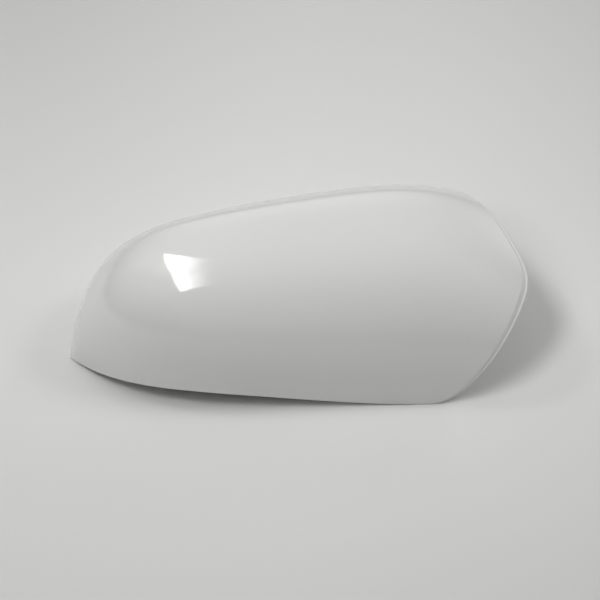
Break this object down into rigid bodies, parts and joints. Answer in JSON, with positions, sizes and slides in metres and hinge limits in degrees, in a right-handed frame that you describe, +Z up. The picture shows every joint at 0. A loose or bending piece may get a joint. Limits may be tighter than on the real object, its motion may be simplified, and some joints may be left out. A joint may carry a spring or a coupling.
{
  "type": "wing mirror cover",
  "caption": "Left-hand wing mirror cover: one glossy white moulded shell with a rebated vee end, an arched rim and snap hooks inside.",
  "frame": {"origin": "centre of the cover's bounding box in plan, on the plane that its rim rests on", "axes": "+X along the length from the outer tip to the vee end, +Y from the arched near rim to the far rim, +Z up from the rim to the crown"},
  "size_m": [0.2324, 0.1242, 0.0725],
  "materials": {
    "gloss_white_plastic": "smooth high-gloss white face outside, satin moulded face inside"
  },
  "bodies": {
    "root": {"mirror_cover": "gloss_white_plastic"}
  },
  "joints": []
}
